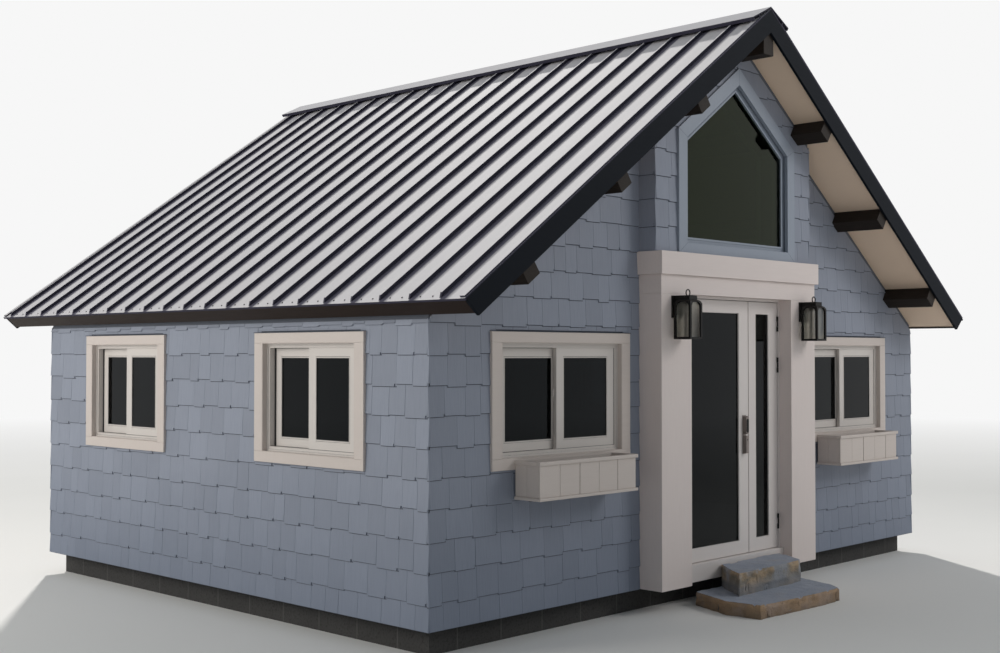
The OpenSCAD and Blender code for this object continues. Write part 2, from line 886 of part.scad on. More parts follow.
foundation();
floor_slab();  // floor
front_wall_side("left");  // front_wall_left
front_wall_side("right");  // front_wall_right
front_gable();
back_wall();
side_wall("left");  // left_wall
side_wall("right");  // right_wall
roof_deck("left");  // roof_deck_left
roof_deck("right");  // roof_deck_right
roof_metal("left");  // roof_metal_left
roof_metal("right");  // roof_metal_right
ridge_cap();
eave_boards();
rake_boards();
purlins();
surround("left");  // surround_left
surround("right");  // surround_right
door_frieze();
door_cap();
gable_bay();
gable_window();
gable_glass();
windows("front");  // front_windows
windows("back");  // back_windows
windows("left");  // left_windows
windows("right");  // right_windows
casings("front");  // front_casings
casings("back");  // back_casings
casings("left");  // left_casings
casings("right");  // right_casings
window_glass();
door_frame();
door_left();
door_left_glass();
door_left_handle();
door_right();
door_right_glass();
flower_box("left");  // flower_box_left
flower_box("right");  // flower_box_right
lantern("left");  // lantern_left
lantern("right");  // lantern_right
union() {  // lantern_glass
    lantern_panes("left");
    lantern_panes("right");
}
upper_step();
lower_step();
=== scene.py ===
# %% [markdown]
# # Tiny house
# One room under a steep metal roof, with painted shingles, sliding windows and a pair of glass doors. The
# real construction comes in as a fixed frame, with every wall, board and leaf at its true size. This lesson
# gives those pieces their finishes, and adds what is too small for the frame: shingles, boards, beads,
# gaskets and stone.

# %% Load the frame
import json
import math
import random

import bmesh
import bpy
from mathutils import Matrix, Vector

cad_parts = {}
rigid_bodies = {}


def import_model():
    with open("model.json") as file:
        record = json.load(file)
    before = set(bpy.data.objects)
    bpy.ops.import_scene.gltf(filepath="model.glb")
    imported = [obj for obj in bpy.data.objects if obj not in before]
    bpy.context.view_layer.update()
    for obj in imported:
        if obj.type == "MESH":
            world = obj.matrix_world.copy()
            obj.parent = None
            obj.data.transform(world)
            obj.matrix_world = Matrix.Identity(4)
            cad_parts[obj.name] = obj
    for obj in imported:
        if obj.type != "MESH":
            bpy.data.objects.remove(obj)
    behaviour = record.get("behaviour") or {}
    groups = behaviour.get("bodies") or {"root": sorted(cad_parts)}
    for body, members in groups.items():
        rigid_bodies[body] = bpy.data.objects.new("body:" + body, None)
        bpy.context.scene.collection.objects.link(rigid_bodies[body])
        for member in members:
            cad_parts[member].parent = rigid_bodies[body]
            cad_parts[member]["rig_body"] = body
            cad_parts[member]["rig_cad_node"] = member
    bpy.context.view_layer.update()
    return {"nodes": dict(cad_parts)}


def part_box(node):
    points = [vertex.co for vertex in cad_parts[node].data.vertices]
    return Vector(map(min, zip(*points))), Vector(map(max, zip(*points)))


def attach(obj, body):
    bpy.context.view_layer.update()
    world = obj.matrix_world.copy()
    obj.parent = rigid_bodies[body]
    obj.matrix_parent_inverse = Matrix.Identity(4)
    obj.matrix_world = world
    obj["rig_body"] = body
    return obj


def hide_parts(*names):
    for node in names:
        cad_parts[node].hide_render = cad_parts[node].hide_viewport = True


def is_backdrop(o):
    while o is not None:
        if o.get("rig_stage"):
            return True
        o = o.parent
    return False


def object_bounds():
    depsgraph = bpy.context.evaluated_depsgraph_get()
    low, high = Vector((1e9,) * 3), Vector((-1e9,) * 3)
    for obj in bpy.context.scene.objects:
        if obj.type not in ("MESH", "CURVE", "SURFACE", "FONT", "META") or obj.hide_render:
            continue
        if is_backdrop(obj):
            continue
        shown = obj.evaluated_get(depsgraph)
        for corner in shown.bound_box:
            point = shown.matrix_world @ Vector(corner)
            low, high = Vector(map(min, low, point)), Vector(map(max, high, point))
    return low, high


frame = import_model()
nodes = frame["nodes"]
random.seed(7)

# %% [markdown]
# The camera comes first, so that every later choice can be judged in the picture. It stands to the left of
# the front, at the height of a tall person's eyes, and looks a little more than one degree up. Its lens and
# place were found from the wall corners and roof edges of the photograph.

# %% Camera
camera_place = (-8.865, -8.524, 1.924)
camera_turn = math.radians(-46.018)
camera_tilt = math.radians(91.176)
bpy.ops.object.camera_add(location=camera_place, rotation=(camera_tilt, 0, camera_turn))
camera = bpy.context.object
camera.data.sensor_width = 36
camera.data.lens = 47.41
bpy.context.scene.camera = camera
print("camera", camera_place, "lens", camera.data.lens, "mm")

# %% [markdown]
# A building is full of pieces that are made the same way, so a few small helpers do what the hands would
# do: pick one piece, start a block between two corners, round its edges, join pieces, and hand a finished
# piece to the house. Everything else is deselected first, because an operator acts on all that is selected.


# %% Helpers for picking and starting pieces
def take(piece):
    """Selects one piece alone and makes it the active one."""
    bpy.ops.object.select_all(action="DESELECT")
    piece.select_set(True)
    bpy.context.view_layer.objects.active = piece


def settle(piece):
    """Moves the piece's place into its mesh, so that its object sits at the origin."""
    take(piece)
    bpy.ops.object.transform_apply(location=True, rotation=True, scale=True)
    return piece


def block(name, low, high):
    """Starts a piece as a block between two corners."""
    low, high = Vector(low), Vector(high)
    bpy.ops.object.select_all(action="DESELECT")
    bpy.ops.mesh.primitive_cube_add(size=1, location=(low + high) / 2, scale=high - low)
    piece = bpy.context.object
    piece.name = name
    return settle(piece)


def rod(name, start, end, radius, sides=24):
    """Starts a piece as a round rod between two points."""
    start, end = Vector(start), Vector(end)
    turn = (end - start).to_track_quat("Z", "Y").to_euler()
    bpy.ops.object.select_all(action="DESELECT")
    bpy.ops.mesh.primitive_cylinder_add(
        vertices=sides, radius=radius, depth=(end - start).length, location=(start + end) / 2, rotation=turn
    )
    piece = bpy.context.object
    piece.name = name
    return settle(piece)


# %% Helpers for shaping
def modify(piece, kind, **settings):
    """Adds a modifier, sets it and applies it."""
    take(piece)
    modifier = piece.modifiers.new(kind, kind)
    for setting, value in settings.items():
        setattr(modifier, setting, value)
    bpy.ops.object.modifier_apply(modifier=modifier.name)
    return piece


def ease(piece, width, segments=2):
    """Rounds the piece's sharp edges."""
    return modify(piece, "BEVEL", width=width, segments=segments, limit_method="ANGLE", angle_limit=0.5)


def open_edit(piece, mode="FACE"):
    """Opens the piece for editing with nothing selected."""
    take(piece)
    bpy.ops.object.mode_set(mode="EDIT")
    bpy.ops.mesh.select_mode(type=mode)
    bpy.ops.mesh.select_all(action="DESELECT")
    return bmesh.from_edit_mesh(piece.data)


def close_edit():
    bpy.ops.object.mode_set(mode="OBJECT")


def pick_faces(piece, test):
    """Opens the piece and selects the faces whose middle and normal pass the test."""
    mesh = open_edit(piece)
    for face in mesh.faces:
        face.select_set(test(face.calc_center_median(), face.normal))
    bmesh.update_edit_mesh(piece.data)


def pick_edges(piece, test):
    """Opens the piece and selects the edges whose two ends pass the test."""
    mesh = open_edit(piece, "EDGE")
    for edge in mesh.edges:
        edge.select_set(test(*(vertex.co for vertex in edge.verts)))
    bmesh.update_edit_mesh(piece.data)


def slice_off(piece, point, normal):
    """Cuts away what lies on the normal's side of a plane, and closes the cut."""
    open_edit(piece)
    bpy.ops.mesh.select_all(action="SELECT")
    bpy.ops.mesh.bisect(plane_co=point, plane_no=normal, use_fill=True, clear_outer=True)
    close_edit()
    return piece


# %% Helpers for copying, joining and handing over
def twin(piece):
    """A copy of a piece with its own mesh."""
    made = piece.copy()
    made.data = piece.data.copy()
    bpy.context.collection.objects.link(made)
    return made


def join(pieces, name):
    """Makes one piece of several."""
    bpy.ops.object.select_all(action="DESELECT")
    for piece in pieces:
        piece.select_set(True)
    bpy.context.view_layer.objects.active = pieces[0]
    if len(pieces) > 1:
        bpy.ops.object.join()
    pieces[0].name = name
    return settle(pieces[0])


def hand_over(piece, finish, body="house", stands_for=()):
    """Gives a piece its finish, smooths it and lets it ride on its body. No finish keeps the piece's own."""
    if finish:
        piece.data.materials.clear()
        piece.data.materials.append(finish)
    take(piece)
    bpy.ops.object.shade_smooth_by_angle(angle=math.radians(32))
    modify(piece, "WEIGHTED_NORMAL", keep_sharp=True)
    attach(piece, body)
    if stands_for:
        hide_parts(*stands_for)
    print(piece.name, len(piece.data.polygons), "faces")


def eased_node(node, width):
    """A copy of a node of the frame, merged into clean faces, with rounded edges."""
    piece = twin(nodes[node])
    piece.parent = None
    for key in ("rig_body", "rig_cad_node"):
        del piece[key]
    piece.name = node + "_eased"
    open_edit(piece)
    bpy.ops.mesh.customdata_custom_splitnormals_clear()
    bpy.ops.mesh.select_all(action="SELECT")
    bpy.ops.mesh.remove_doubles(threshold=0.00001)
    bpy.ops.mesh.dissolve_limited(angle_limit=math.radians(0.5))
    close_edit()
    return ease(piece, width)


# %% [markdown]
# Finishes are node materials. A small class wraps one socket, so that a sum such as 1 - mask reads as a sum
# and still becomes Math nodes. Every pattern reads Object coordinates. The pieces sit at the origin, so one
# metre in a pattern is one metre on the house.


# %% A wire for shader sums
class Wire:
    """A socket of a material. Sums on it add Math nodes, and node() adds any other node."""

    def __init__(self, socket):
        self.socket = socket

    def node(self, kind, settings=None, sockets=None, out=0):
        """Adds a node with its settings, its sockets' values or links, and returns one of its outputs."""
        tree = self.socket.id_data
        made = tree.nodes.new(kind)
        for setting, value in (settings or {}).items():
            setattr(made, setting, value)
        for key, value in (sockets or {}).items():
            if isinstance(value, Wire):
                tree.links.new(value.socket, made.inputs[key])
            else:
                made.inputs[key].default_value = value
        return Wire(made.outputs[out])

    def math(self, operation, first, second=0.0):
        return self.node("ShaderNodeMath", {"operation": operation}, {0: first, 1: second})

    def __add__(self, other):
        return self.math("ADD", self, other)

    __radd__ = __add__

    def __sub__(self, other):
        return self.math("SUBTRACT", self, other)

    def __rsub__(self, other):
        return self.math("SUBTRACT", other, self)

    def __mul__(self, other):
        return self.math("MULTIPLY", self, other)

    __rmul__ = __mul__

    def __truediv__(self, other):
        return self.math("DIVIDE", self, other)

    def __gt__(self, other):
        return self.math("GREATER_THAN", self, other)

    def __lt__(self, other):
        return self.math("LESS_THAN", self, other)


# %% Patterns that most finishes use
def grain(place, scale, stretch=(1, 1, 1), detail=4.0):
    """Noise from 0 to 1, finer along the axes with the larger stretch."""
    spread = place.node("ShaderNodeMapping", None, {"Vector": place, "Scale": stretch})
    return place.node("ShaderNodeTexNoise", None, {"Vector": spread, "Scale": scale, "Detail": detail})


def blend(factor, first, second):
    """Mixes two colours."""
    pair = [(*c, 1) if isinstance(c, tuple) else c for c in (first, second)]
    return factor.node(
        "ShaderNodeMix", {"data_type": "RGBA"}, {0: factor, 6: pair[0], 7: pair[1]}, out=2
    )


def steps(wire, low, high):
    """Spreads the part of a pattern between low and high over 0 to 1."""
    return wire.node("ShaderNodeMapRange", None, {0: wire, 1: low, 2: high})


def repeats(wire):
    """How far a point lies into its repeat, from 0 to 1, and the number of that repeat."""
    number = wire.math("FLOOR", wire)
    return wire - number, number


def part_of(place, axis):
    """One of the X, Y and Z parts of a vector."""
    return place.node("ShaderNodeSeparateXYZ", None, {0: place}, out="XYZ".index(axis))


def tinted(shade, share):
    """A colour made lighter or darker by a share of itself."""
    return tuple(min(1.0, part * (1 + share)) for part in shade)


def new_finish(name, **uniform):
    """A material, the wire of its Object coordinates, and a function that fills its shader's sockets."""
    material = bpy.data.materials.new(name)
    material.use_nodes = True
    tree = material.node_tree
    shader = tree.nodes["Principled BSDF"]
    place = Wire(tree.nodes.new("ShaderNodeTexCoord").outputs["Object"])
    print("finish:", name)

    def fill(**sockets):
        for key, value in sockets.items():
            socket = shader.inputs[key.replace("_", " ")]
            if isinstance(value, Wire):
                tree.links.new(value.socket, socket)
            else:
                socket.default_value = (*value, 1) if isinstance(value, tuple) else value

    fill(**uniform)
    return material, place, fill


def relief(height, distance, strength=1.0):
    """A bump from a pattern, distance metres deep."""
    return height.node("ShaderNodeBump", None, {"Height": height, "Distance": distance, "Strength": strength})


# %% [markdown]
# Paint is never one flat colour. It is a little uneven over a board, it shows the grain or the brush along
# the board, and its gloss changes with it. One recipe makes all the painted boards, with its own colour,
# gloss and direction of grain for each.


# %% Painted boards
def painted(name, shade, gloss, along="Z", cloud=0.05, brush=0.04, depth=0.0002, ior=1.5):
    """Paint on a board whose grain runs along one axis."""
    material, place, fill = new_finish(name)
    fine = tuple(6 if axis == along else 90 for axis in "XYZ")
    patches = grain(place, 1.7, detail=3)
    strokes = grain(place, 1.0, fine, detail=3)
    tone = blend(patches, tinted(shade, -cloud), tinted(shade, cloud))
    tone = blend(steps(strokes, 0.35, 0.75) * brush * 8, tone, tinted(shade, -brush * 2))
    fill(Base_Color=tone, Roughness=strokes * 0.12 + (gloss - 0.06), Normal=relief(strokes, depth), IOR=ior)
    return material


cream = (0.70, 0.615, 0.585)
trim_upright = painted("cream paint, upright", cream, 0.5, "Z")
trim_level = painted("cream paint, level", cream, 0.5, "X")
casing_paint = painted("cream paint on the casings", (0.575, 0.508, 0.468), 0.5, "X", cloud=0.03)
vinyl = painted("window vinyl", (0.60, 0.555, 0.52), 0.36, "X", cloud=0.02, brush=0.0, depth=0.00003)
door_paint = painted("door paint", (0.68, 0.625, 0.60), 0.4, "Z", cloud=0.02, brush=0.015, depth=0.00006)
eave_paint = painted("eave board paint", (0.020, 0.012, 0.009), 0.5, "Y", cloud=0.2, brush=0.05, ior=1.22)
rake_paint = painted("rake board paint", (0.007, 0.009, 0.013), 0.55, "X", cloud=0.2, brush=0.05, ior=1.13)
timber_paint = painted("dark timber stain", (0.020, 0.015, 0.012), 0.6, "Y", 0.25, 0.12, 0.001, 1.25)
soffit_paint = painted("soffit paint", (0.80, 0.62, 0.47), 0.6, "Y", cloud=0.04, brush=0.02, depth=0.0003)
frame_blue = painted("blue-grey paint on the gable window", (0.25, 0.285, 0.345), 0.5, "Z", cloud=0.04)

# %% [markdown]
# The shingles carry the house's colour: a soft blue-grey over a pressed wood grain. Each shingle holds a
# tone of its own as an attribute on its mesh, so neighbours differ slightly, and that tone also shifts the
# grain, so that no grain line runs from one shingle into the next.

# %% Shingle paint
shade = (0.232, 0.255, 0.312)
shingle_paint, place, fill = new_finish("blue-grey shingle paint")
tone = place.node("ShaderNodeAttribute", {"attribute_name": "tone"}, out=2)
shift = place.node("ShaderNodeCombineXYZ", None, {0: tone * 31.0, 1: tone * 17.0, 2: tone * 5.0})
shifted = place.node("ShaderNodeVectorMath", {"operation": "ADD"}, {0: place, 1: shift})
lines = grain(shifted, 1.0, (130, 130, 4), detail=4)
patches = grain(place, 1.1, detail=4)
colour = blend(tone, tinted(shade, -0.10), tinted(shade, 0.08))
colour = blend(steps(patches, 0.35, 0.7) * 0.5, colour, tinted(shade, 0.10))
colour = blend(steps(lines, 0.45, 0.8) * 0.35, colour, tinted(shade, -0.22))
# Painted shade: the courses turn darker and bluer towards the ground, below about 1.4 m.
dust_and_painted_shade = steps(part_of(place, "Z") + patches * 0.5, 1.4, 0.2) * 0.6
colour = blend(dust_and_painted_shade, colour, (0.105, 0.135, 0.195))
fill(Base_Color=colour, Roughness=lines * 0.15 + 0.58, Normal=relief(lines, 0.0012, 0.7))

# %% [markdown]
# The roof is folded steel with a charcoal coat, which the upright faces keep. The pans and the tops of
# the seams get a lilac-grey painted highlight, which stands in for the low sun's glare on them; flatter
# faces, such as the ridge cap's top, get a darker one. The geometry's normal tells these apart. The steel
# is rolled in long strips, so its faint streaks run down the slope. Beside each seam, on the side away from
# the sun, a dark strip on the pan is a painted shadow of the seam.

# %% Roof metal
first_seam, seam_pitch = 2.699, 0.283
roof_metal, place, fill = new_finish("charcoal roof steel", Metallic=0.05, IOR=1.28)
streaks = grain(place, 1.0, (2, 26, 2), detail=3)
ripples = grain(place, 2.2, detail=2)
dust_and_painted_shade = grain(place, 14.0, detail=5)
facing = place.node("ShaderNodeNewGeometry", out=1)
# Painted highlight on faces that look up, the pans and the seam tops; upright faces keep the dark coat.
upward_painted_highlight = steps(part_of(facing, "Z"), 0.55, 0.75)
pans_with_painted_light = blend(streaks, (0.47, 0.455, 0.475), (0.53, 0.515, 0.53))
pans_with_painted_light = blend(steps(dust_and_painted_shade, 0.5, 0.8) * 0.3, pans_with_painted_light, (0.56, 0.55, 0.55))
# Flatter faces, as on the ridge cap, get a darker painted highlight and more roughness.
level = steps(part_of(facing, "Z"), 0.83, 0.88)
pans_with_painted_light = blend(level * 0.8, pans_with_painted_light, (0.42, 0.415, 0.44))
# Painted shadow: a dark strip beside each seam, on the side away from the sun.
beside, _ = repeats((part_of(place, "Y") + first_seam) / seam_pitch)
painted_seam_shadow = steps(beside, 0.75, 0.83) * (beside < 0.974)
pans_with_painted_light = blend(painted_seam_shadow * (1 - level) * 0.95, pans_with_painted_light, (0.052, 0.049, 0.078))
colour = blend(upward_painted_highlight, (0.032, 0.030, 0.048), pans_with_painted_light)
gloss = streaks * 0.06 + level * 0.2 + 0.68
fill(Base_Color=colour, Roughness=gloss, Normal=relief(ripples, 0.003, 0.4))

# %% [markdown]
# Panes are clear shaders. The window and door panes' dark tint is painted shade that stands in for the
# room behind them, which is dark by day, and the gable pane's green tint, on the glass and on its
# reflection, is a painted reflection. Real panes are never quite flat, so a slow wave bends their
# reflections. Small fittings and strips share one recipe of fine speckle and soft patches, and differ in
# colour, gloss and how metallic they are.


# %% Glass and metal fittings
def glass_finish(name, shade, waviness, haze=0.0, tint=(1.0, 1.0, 1.0), ior=1.25):
    material, place, fill = new_finish(name, Transmission_Weight=1.0, IOR=ior, Specular_Tint=tint)
    smudge = grain(place, 3.0, detail=4)
    fill(Base_Color=blend(smudge, tinted(shade, -0.1), tinted(shade, 0.1)), Roughness=smudge * 0.03 + haze)
    fill(Normal=relief(grain(place, 1.6, detail=1), waviness))
    return material


def metal_finish(name, shade, gloss, metallic, ior=1.5):
    material, place, fill = new_finish(name, IOR=ior)
    texture = grain(place, 420.0, detail=3)
    patches = grain(place, 9.0, detail=4)
    colour = blend(patches, tinted(shade, -0.25), tinted(shade, 0.25))
    fill(Base_Color=colour, Metallic=metallic, Roughness=patches * 0.14 + (gloss - 0.07))
    fill(Normal=relief(texture, 0.0002, 0.5))
    return material


# Painted shade: the dark tint stands in for the dim room behind the window and door panes.
window_pane = glass_finish("window glass darkened as painted shade", (0.025, 0.030, 0.033), 0.0006, 0.0, (0.8, 0.92, 1.0), 1.2)
# Painted reflection: the green tint on the gable glass and on its reflection.
gable_pane = glass_finish("gable glass with a painted green reflection", (0.045, 0.080, 0.035), 0.0008, 0.0, (0.6, 0.8, 0.3))
lantern_pane = glass_finish("hazy lantern glass", (0.68, 0.68, 0.64), 0.0004, 0.30)
bronze = metal_finish("worn bronze of the lockset", (0.215, 0.180, 0.165), 0.48, 0.3)
black_metal = metal_finish("black lantern metal", (0.007, 0.0065, 0.0065), 0.5, 0.0, 1.25)
# Painted shade: the strips under the shingles, their lower edges' undersides and the head flashings.
painted_shade_under_edges = metal_finish("painted shade under a shingle's edge", (0.075, 0.084, 0.107), 0.9, 0.0)
# Painted shade in the shingles' notches and in the flower boxes' grooves.
painted_shade_in_gaps = metal_finish("painted shade in gaps between boards", (0.018, 0.018, 0.020), 0.9, 0.0, 1.25)
# Real rubber on the gaskets; the same finish draws painted shade lines in the window frames.
rubber_and_painted_shade = metal_finish("black rubber and painted shade", (0.012, 0.012, 0.012), 0.6, 0.0)

# %% [markdown]
# Blocks and floor boards repeat at a fixed pitch, so their joints are drawn where a coordinate comes to the
# end of its repeat. Sandstone lies in thin beds: noise that is squeezed in height gives them. The walls'
# cores show only between shingles outside, as felt, and as plain plaster inside.

# %% Blockwork
block_pitch = 0.41
# Painted shade: the blocks are nearly black, for the deep gap under the siding; the joints stay lighter.
blockwork_in_painted_shade, place, fill = new_finish("blockwork_darkened_as_painted_shade")
pores = grain(place, 60.0, detail=5)
stains = grain(place, 2.5, detail=4)
colour = blend(stains, (0.026, 0.025, 0.024), (0.050, 0.048, 0.046))
colour = blend(steps(pores, 0.5, 0.7), colour, (0.020, 0.019, 0.018))
for axis in "XY":
    into, _ = repeats(part_of(place, axis) / block_pitch)
    joint = into.math("ABSOLUTE", into - 0.5) > 0.487
    colour = blend(joint, colour, (0.066, 0.063, 0.06))
fill(Base_Color=colour, Roughness=0.9, Normal=relief(pores, 0.003))

# %% Sandstone
# It is greyer where it is weathered and ochre where it was split.
sandstone, place, fill = new_finish("split sandstone")
beds = grain(place, 1.0, (6, 6, 17), detail=7)
patches = grain(place, 4.0, detail=6)
grit = grain(place, 90.0, detail=4)
height = part_of(place, "Z")
top = place.node("ShaderNodeAttribute", {"attribute_name": "top"}, out=2)
split = blend(steps(beds, 0.40, 0.60), (0.20, 0.17, 0.13), (0.40, 0.29, 0.18))
split = blend(steps(patches, 0.46, 0.56), split, (0.27, 0.275, 0.29))
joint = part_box("lower_step")[1].z
lower = steps(height, joint - 0.001, joint - 0.007)
weathered = steps(height + patches * 0.06, joint + 0.13, joint + 0.07) * (1 - lower)
split = blend(weathered * 0.75, split, (0.175, 0.182, 0.20))
split = blend(lower * 0.6, split, (0.39, 0.235, 0.125))
split = blend(steps(height + patches * 0.12, 0.14, 0.03) * 0.8, split, (0.115, 0.085, 0.06))
# Tops: greyer as worn stone, and bluer as painted skylit shade.
worn_and_painted_sky_shade = blend(patches, (0.22, 0.25, 0.32), (0.34, 0.365, 0.42))
worn_and_painted_sky_shade = blend(steps(beds, 0.55, 0.8) * 0.35, worn_and_painted_sky_shade, (0.40, 0.35, 0.29))
colour = blend(top, split, worn_and_painted_sky_shade)
colour = blend(steps(grit, 0.5, 0.75) * 0.35, colour, (0.12, 0.11, 0.10))
fill(Base_Color=colour, Roughness=grit * 0.2 + 0.7, Normal=relief(beds + patches + grit * 0.3, 0.012))

# %% Floor boards
board_pitch = 0.14
floor_boards, place, fill = new_finish("oak floor boards")
into, board = repeats(part_of(place, "X") / board_pitch)
edge = into.math("ABSOLUTE", into - 0.5)
seed = board.node("ShaderNodeTexWhiteNoise", {"noise_dimensions": "1D"}, {"W": board})
figure = grain(place, 1.0, (40, 2, 40), detail=5)
colour = blend(seed, (0.30, 0.19, 0.10), (0.42, 0.28, 0.16))
colour = blend(steps(figure, 0.4, 0.7) * 0.5, colour, (0.20, 0.12, 0.065))
colour = blend(edge > 0.49, colour, (0.04, 0.03, 0.02))
fill(Base_Color=colour, Roughness=figure * 0.2 + 0.35, Normal=relief(figure, 0.0004))

# %% Wall cores
half_w, half_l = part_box("back_wall")[1].x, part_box("back_wall")[1].y
wall_core, place, fill = new_finish("wall core")
across, along = (place.math("ABSOLUTE", part_of(place, axis)) for axis in "XY")
inside = (across < half_w - 0.1) * (along < half_l - 0.1)
weave = grain(place, 300.0, detail=2)
plaster = blend(grain(place, 2.0), (0.62, 0.60, 0.56), (0.68, 0.66, 0.62))
felt_and_shade_strip = blend(weave, (0.085, 0.096, 0.120), (0.105, 0.116, 0.142))
fill(Base_Color=blend(inside, felt_and_shade_strip, plaster), Roughness=0.85, Normal=relief(weave, 0.0004))

# %% [markdown]
# Some nodes of the frame are already the right shape and only need a finish: the walls, which hide under
# shingles and felt, the roof's boards, the floor, the blocks and the glass.

# %% Finishes on the frame's own nodes
node_finishes = [
    (blockwork_in_painted_shade, "foundation"),
    (floor_boards, "floor"),
    (soffit_paint, "roof_deck_left roof_deck_right"),
    (wall_core, "gable_bay front_wall_left front_wall_right front_gable back_wall left_wall right_wall"),
    (gable_pane, "gable_glass"),
    (window_pane, "window_glass door_left_glass door_right_glass"),
    (lantern_pane, "lantern_glass"),
]
for finish, names in node_finishes:
    for name in names.split():
        for place in nodes[name].material_slots:
            place.material = finish
    print(finish.name, "on", names)

# %% [markdown]
# Sharp edges give computer pictures away. Real trim is sanded, vinyl is moulded and steel is folded round a
# radius, so these nodes are copied, merged into clean faces and given small rounded edges. Each copy stands
# for its node.

# %% Rounded copies of frame nodes
eased = [
    (roof_metal, 0.0018, "roof_metal", "roof_metal_left roof_metal_right"),
    (roof_metal, 0.0015, "roof_metal", "ridge_cap"),
    (eave_paint, 0.003, "eave_paint", "eave_boards"),
    (rake_paint, 0.003, "rake_paint", "rake_boards"),
    (timber_paint, 0.005, "dark_timber", "purlins"),
    (trim_upright, 0.0025, "trim_paint", "surround_left surround_right"),
    (trim_level, 0.0025, "trim_paint", "door_frieze"),
    (trim_level, 0.003, "trim_paint", "door_cap"),
    (frame_blue, 0.002, "wall_paint", "gable_window"),
    (vinyl, 0.0015, "window_vinyl", "front_windows back_windows left_windows right_windows"),
    (door_paint, 0.0015, "door_paint", "door_frame"),
    (black_metal, 0.001, "black_metal", "lantern_left lantern_right"),
]
for finish, width, slot, names in eased:
    for name in names.split():
        hand_over(eased_node(name, width), finish, "house", [name])
for name in ("door_left", "door_right"):
    hand_over(eased_node(name, 0.0015), door_paint, name, [name])
hand_over(eased_node("door_left_handle", 0.002), bronze, "door_left", ["door_left_handle"])

# %% [markdown]
# The pans are held at the eaves by two small dark screws each. One screw is made per slope and copied, and
# every copy is dropped onto the sheet where a ray from above meets it.


# %% Screws at the pans' lower ends
def row_of_screws(name, side):
    sheet = bpy.data.objects[name + "_eased"]
    low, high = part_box(name)
    x = low.x + from_eave if side < 0 else high.x - from_eave
    out = Vector((side * math.sin(pitch), 0, math.cos(pitch)))
    master = ease(rod("screw", out * -0.002, out * 0.0045, 0.0055, 10), 0.0015, 1)
    placed = []
    for pan in range(pan_count):
        for share in (0.3, 0.7):
            y = (pan + share) * seam_pitch - first_seam
            met, where, _, _ = sheet.ray_cast((x, y, 9.0), (0, 0, -1))
            if met:
                screw = twin(master)
                screw.location = where
                placed.append(screw)
    bpy.data.objects.remove(master)
    return join(placed, name + "_screws")


pitch, pan_count, from_eave = math.radians(35.2), 20, 0.032
for name, side in (("roof_metal_left", -1), ("roof_metal_right", 1)):
    hand_over(row_of_screws(name, side), black_metal)

# %% [markdown]
# A shingle is a thin board that tapers upwards. Its lower edge stands 15 mm off the wall. A dark strip
# under it is a painted shadow that draws the line of each course, and the edge's underside carries the
# same painted shade. A second master has a small notch at a lower corner, where the real panels show a
# dark spot between two shingles; the notch's inner faces are painted dark, as painted shade. Every
# shingle is a copy of one of these two.

# %% The two master shingles
shingle_w, shingle_h, shingle_t, shingle_top_t = 0.16, 0.262, 0.015, 0.004


def carve(piece, cutter):
    """Takes one piece's volume out of another."""
    modify(piece, "BOOLEAN", operation="DIFFERENCE", object=cutter, solver="EXACT")
    bpy.data.objects.remove(cutter)
    return piece


def master_shingle(name):
    piece = block(name, (0, -shingle_t, 0), (shingle_w, 0, shingle_h))
    pick_edges(piece, lambda a, b: max(a.y, b.y) < -0.01 and min(a.z, b.z) > shingle_h - 0.001)
    bpy.ops.transform.translate(value=(0, shingle_t - shingle_top_t, 0))
    close_edit()
    return piece


def with_painted_shade(shingle):
    """Adds the painted shadow strip; it and the edge's underside get painted shade, the notch a darker one.
    """
    for finish in (shingle_paint, painted_shade_under_edges, painted_shade_in_gaps):
        shingle.data.materials.append(finish)
    for face in shingle.data.polygons:
        in_notch = notch_low[0] - 0.0005 < face.center.x and face.center.z < notch_high[2] + 0.0005
        # Painted shade on the underside of the lower edge.
        if face.normal.z < -0.7 and face.center.z < 0.002:
            face.material_index = 1
        # Painted shade, darker, on the faces inside the notch.
        elif in_notch and abs(face.normal.x) < 0.9 and -0.0135 < face.center.y < -0.001:
            face.material_index = 2
    # Painted shadow: a dark strip just under the lower edge, on the course below.
    felt_and_shade_strip = block("felt_and_shade_strip", (0, -0.0078, -0.0045), (shingle_w, 0, 0.002))
    felt_and_shade_strip.data.materials.append(painted_shade_under_edges)
    return join([shingle, felt_and_shade_strip], shingle.name)


notch_low, notch_high = (shingle_w - 0.013, -0.02, -0.01), (shingle_w + 0.01, -0.003, 0.018)
notched_shingle = carve(master_shingle("notched_shingle"), block("notch", notch_low, notch_high))
plain_shingle = with_painted_shade(ease(master_shingle("shingle"), 0.0010, 1))
notched_shingle = with_painted_shade(ease(notched_shingle, 0.0010, 1))
print("shingle masters of", len(plain_shingle.data.polygons), len(notched_shingle.data.polygons), "faces")

# %% [markdown]
# Walls are covered row by row. The rows start at fixed heights, the widths and the drop of each shingle
# vary, and a row stops at windows and corners. A shingle that would cross a window is cut along its edge,
# under the casing. Every wall is laid as if it were the front, seen from outside, and is then turned to its
# place.


# %% Laying shingles
lower_rows, lower_course, upper_rows, upper_course = 0.338, 0.197, 2.301, 0.19
row_starts = [lower_rows + lower_course * row for row in range(10)]
row_starts += [upper_rows + upper_course * row for row in range(12)]
shingle_widths = (0.12, 0.14, 0.155, 0.17, 0.185, 0.20, 0.22, 0.24)


